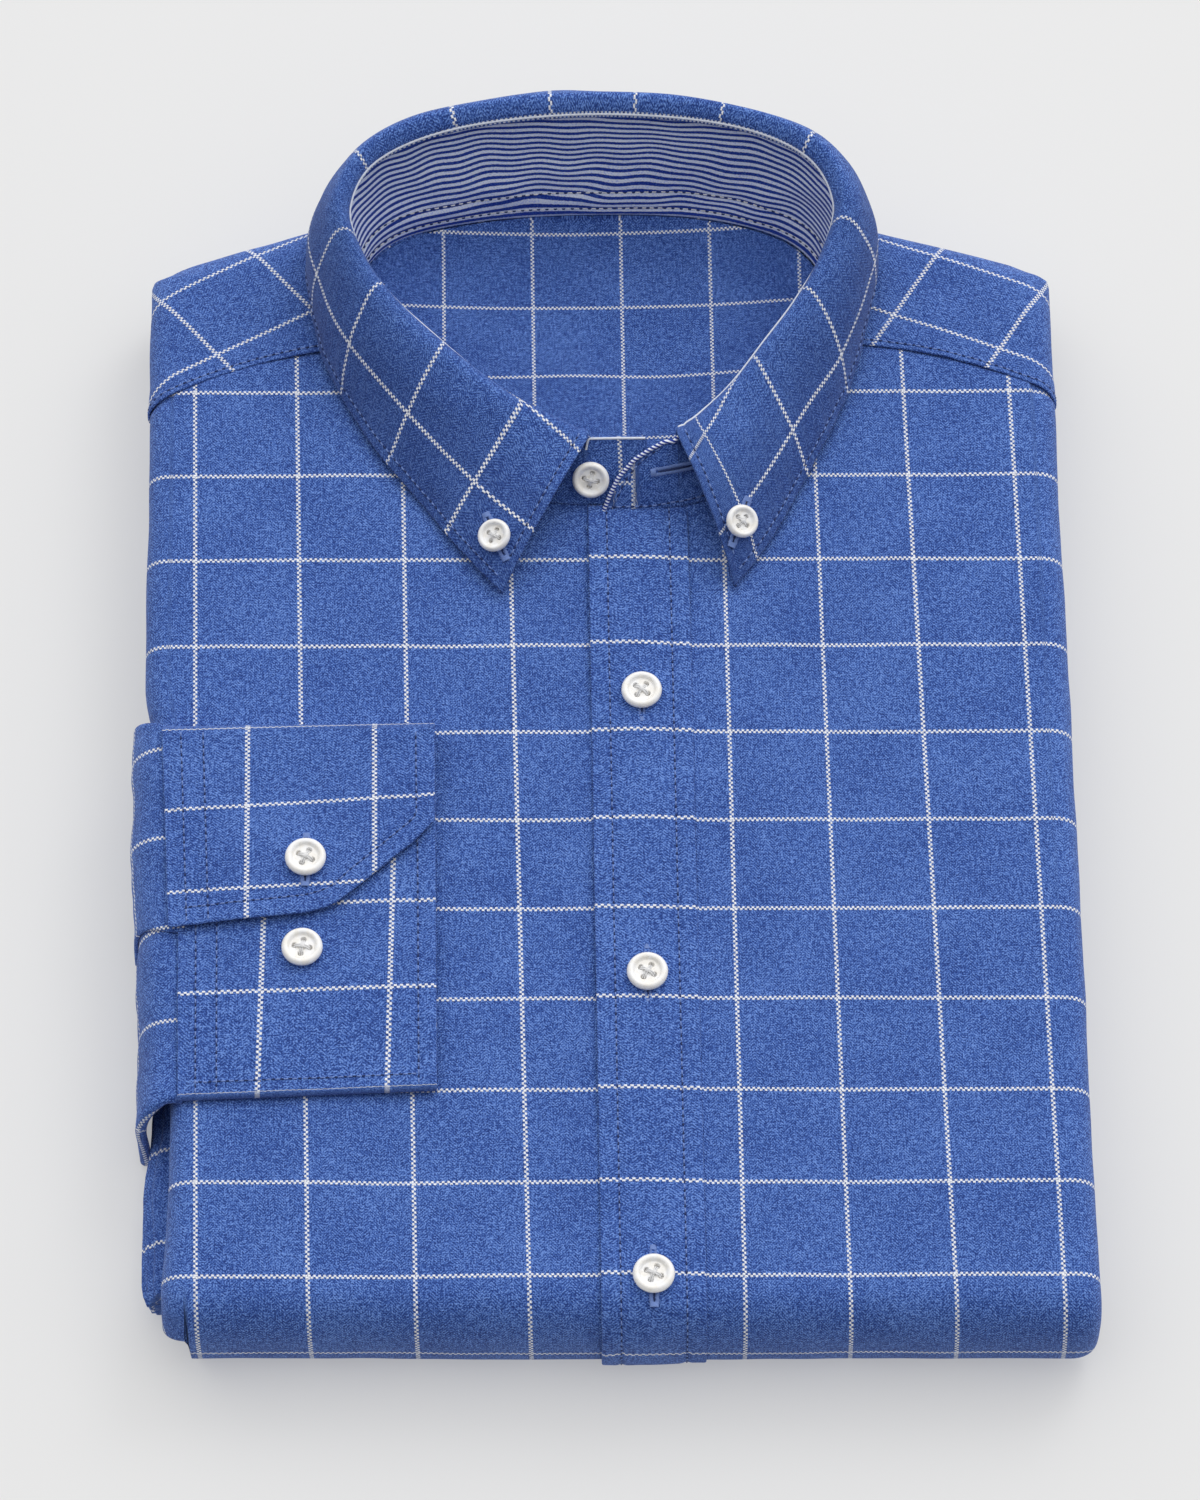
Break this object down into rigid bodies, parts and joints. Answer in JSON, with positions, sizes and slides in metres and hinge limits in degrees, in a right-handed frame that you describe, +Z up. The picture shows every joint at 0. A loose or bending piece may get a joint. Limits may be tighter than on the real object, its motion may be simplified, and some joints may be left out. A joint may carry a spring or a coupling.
{
  "type": "folded dress shirt",
  "caption": "Long-sleeved button-down dress shirt folded flat, collar standing up, one cuff brought round onto the front.",
  "frame": {"origin": "centre of the overall box, on the flat underside that the folded shirt rests on", "axes": "+X to the wearer's left, +Y from the folded bottom edge to the collar, +Z up from the surface"},
  "size_m": [0.2654, 0.3791, 0.0748],
  "materials": {
    "blue_check_cotton": "matt royal blue oxford cotton with a white windowpane check",
    "striped_cotton": "matt cotton in narrow navy and white stripes",
    "pearl_button": "pearly off-white, four holes"
  },
  "bodies": {
    "root": {"folded_back": "blue_check_cotton", "front_right": "blue_check_cotton", "front_left": "blue_check_cotton", "front_placket": "blue_check_cotton", "yoke": "blue_check_cotton", "back_neck": "blue_check_cotton", "collar_stand": "blue_check_cotton", "collar_facing": "striped_cotton", "collar_leaf": "blue_check_cotton", "cuff": "blue_check_cotton", "sleeve": "blue_check_cotton", "sleeve_placket": "blue_check_cotton", "button_neck": "pearl_button", "button_collar_right": "pearl_button", "button_collar_left": "pearl_button", "button_front_1": "pearl_button", "button_front_2": "pearl_button", "button_front_3": "pearl_button", "button_cuff_1": "pearl_button", "button_cuff_2": "pearl_button"}
  },
  "joints": []
}
